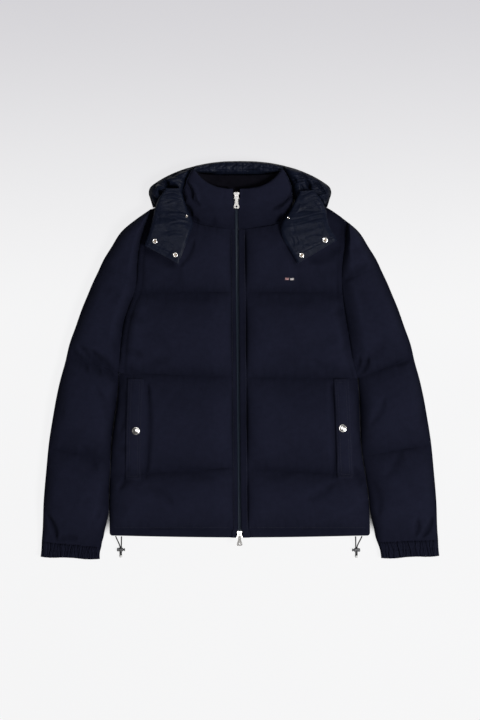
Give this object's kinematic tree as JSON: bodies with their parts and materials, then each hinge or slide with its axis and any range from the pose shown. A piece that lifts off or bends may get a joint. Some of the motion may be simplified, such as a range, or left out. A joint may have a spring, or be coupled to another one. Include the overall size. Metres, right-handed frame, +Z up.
{
  "type": "down jacket",
  "caption": "Hooded quilted down jacket with a stand collar, two-way zip, side welts and hem drawcord, laid flat face up with the zip closed.",
  "frame": {"origin": "middle of the garment's box, on the surface that it lies on", "axes": "+X towards the wearer's left, +Y from hem to hood, +Z up from the surface"},
  "size_m": [0.8357, 0.8347, 0.0532],
  "materials": {
    "navy_wool": "matt brushed wool over down padding",
    "navy_nylon": "soft satin nylon with gathers",
    "polished_metal": "polished zip and snap metal",
    "toggle_body": "satin metal barrel",
    "toggle_button": "dark plunger",
    "pale_plastic": "pale cord end",
    "black_cord": "round elastic cord",
    "zip_tape": "woven tape with a moulded coil"
  },
  "bodies": {
    "jacket": {"back": "navy_wool", "collar": "navy_wool", "cord_end_left": "pale_plastic", "cord_end_right": "pale_plastic", "cord_lock_left": "toggle_body", "cord_lock_right": "toggle_body", "cuff_left": "navy_wool", "cuff_right": "navy_wool", "front_left": "navy_wool", "front_right": "navy_wool", "hem_cord_left_a": "black_cord", "hem_cord_left_b": "black_cord", "hem_cord_right_a": "black_cord", "hem_cord_right_b": "black_cord", "hood_centre": "navy_nylon", "hood_flap_left": "navy_nylon", "hood_flap_right": "navy_nylon", "hood_side_left": "navy_nylon", "hood_side_right": "navy_nylon", "sleeve_left": "navy_wool", "sleeve_right": "navy_wool", "slider_bottom": "polished_metal", "slider_top": "polished_metal", "snap_hood_inner_left": "polished_metal", "snap_hood_inner_right": "polished_metal", "snap_hood_neck_left": "polished_metal", "snap_hood_neck_right": "polished_metal", "snap_hood_outer_left": "polished_metal", "snap_hood_outer_right": "polished_metal", "snap_pocket_left": "polished_metal", "snap_pocket_right": "polished_metal", "welt_left": "navy_wool", "welt_right": "navy_wool", "zip_left": "zip_tape", "zip_right": "zip_tape"},
    "zip_pull_top": {"pull_top": "polished_metal"},
    "zip_pull_bottom": {"pull_bottom": "polished_metal"},
    "toggle_button_left": {"cord_plunger_left": "toggle_button"},
    "toggle_button_right": {"cord_plunger_right": "toggle_button"}
  },
  "joints": [
    {"name": "pull_top_hinge", "type": "hinge", "parent": "jacket", "child": "zip_pull_top", "pos_m": [-0.00719, 0.34129, 0.03977], "axis": [-1, 0, 0], "range_deg": [0, 150]},
    {"name": "pull_bottom_hinge", "type": "hinge", "parent": "jacket", "child": "zip_pull_bottom", "pos_m": [-0.00092, -0.3624, 0.0288], "axis": [-1, 0, 0], "range_deg": [0, 150]},
    {"name": "toggle_left_press", "type": "slide", "parent": "jacket", "child": "toggle_button_left", "axis": [1, 0, 0], "range_m": [0, 0.0016], "stiffness_N_per_m": 800},
    {"name": "toggle_right_press", "type": "slide", "parent": "jacket", "child": "toggle_button_right", "axis": [-1, 0, 0], "range_m": [0, 0.0016], "stiffness_N_per_m": 800}
  ]
}
